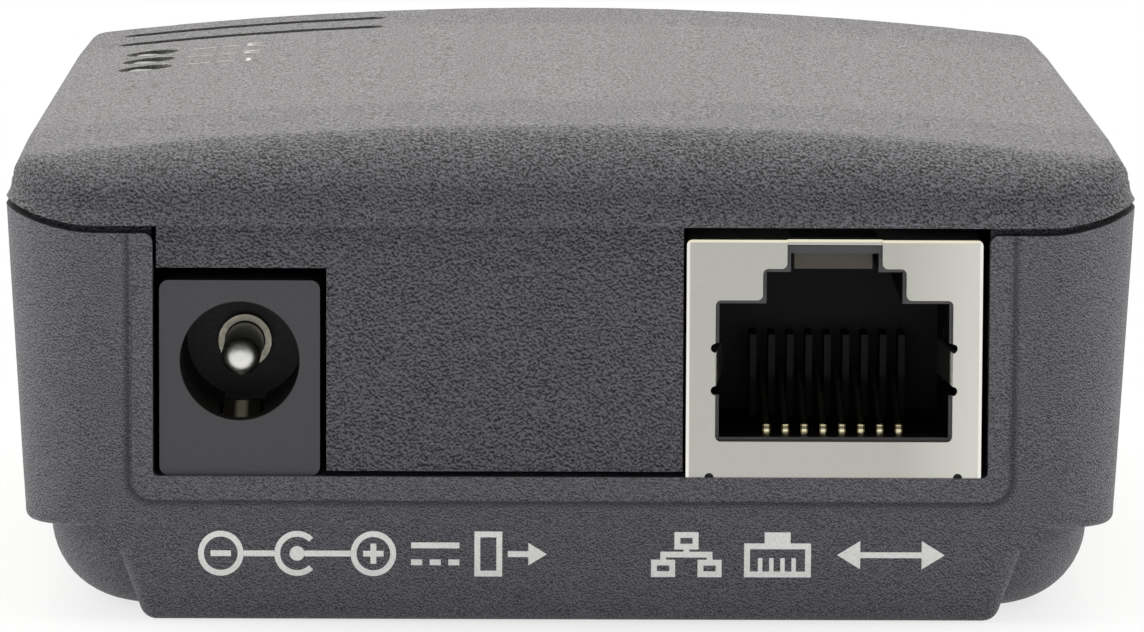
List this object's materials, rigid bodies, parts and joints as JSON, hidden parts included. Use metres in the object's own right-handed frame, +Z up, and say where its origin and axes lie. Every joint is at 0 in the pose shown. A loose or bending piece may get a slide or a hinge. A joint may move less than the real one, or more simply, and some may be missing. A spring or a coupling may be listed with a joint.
{
  "type": "power over ethernet splitter",
  "caption": "Small splitter in a crowned moulded case: network socket at one end, DC power socket and shielded data socket at the other, vents and lamps on top.",
  "frame": {"origin": "under the middle of the case, on the surface that it stands on", "axes": "+Z up; +Y from the output end (DC and data sockets) to the input end; +X to the right as seen when facing the output end"},
  "size_m": [0.061, 0.082, 0.0266],
  "materials": {
    "case_plastic": "finely textured dark blue-grey moulding",
    "jack_plastic": "smooth black moulding",
    "shield_metal": "nickel-plated sheet, satin",
    "contact_gold": "gold-plated spring wire",
    "pin_steel": "turned and plated",
    "spring_brass": "rolled strip",
    "tinned_metal": "tinned",
    "screw_steel": "blackened, satin",
    "board_laminate": "glass laminate under green lacquer",
    "ferrite": "sintered, dull",
    "former_plastic": "moulded black",
    "winding_tape": "yellow polyester tape",
    "copper_wire": "enamelled copper",
    "can_sleeve": "shrunk sleeve over an aluminium can",
    "package_epoxy": "moulded epoxy",
    "lamp_lens": "clear tinted resin"
  },
  "bodies": {
    "root": {"top_cover": "case_plastic", "base_shell": "case_plastic", "case_screws": "screw_steel", "circuit_board": "board_laminate", "dc_jack_housing": "jack_plastic", "dc_jack_centre_pin": "pin_steel", "dc_jack_leaf": "spring_brass", "dc_jack_terminal": "tinned_metal", "data_jack_shield": "shield_metal", "data_jack_insert": "jack_plastic", "data_jack_contacts": "contact_gold", "network_jack_shield": "shield_metal", "network_jack_insert": "jack_plastic", "network_jack_contacts": "contact_gold", "status_led_1": "lamp_lens", "status_led_2": "lamp_lens", "status_led_3": "lamp_lens", "status_led_leads": "tinned_metal", "transformer_core": "ferrite", "transformer_bobbin": "former_plastic", "transformer_winding": "winding_tape", "pulse_transformer": "package_epoxy", "pulse_transformer_legs": "tinned_metal", "input_capacitor": "can_sleeve", "output_capacitors": "can_sleeve", "inductor_core": "ferrite", "inductor_winding": "copper_wire", "bridge_rectifiers": "package_epoxy", "bridge_rectifier_legs": "tinned_metal", "controller_chip": "package_epoxy", "controller_chip_legs": "tinned_metal", "switching_transistor": "package_epoxy", "output_rectifier": "package_epoxy", "chip_parts": "package_epoxy"}
  },
  "joints": []
}
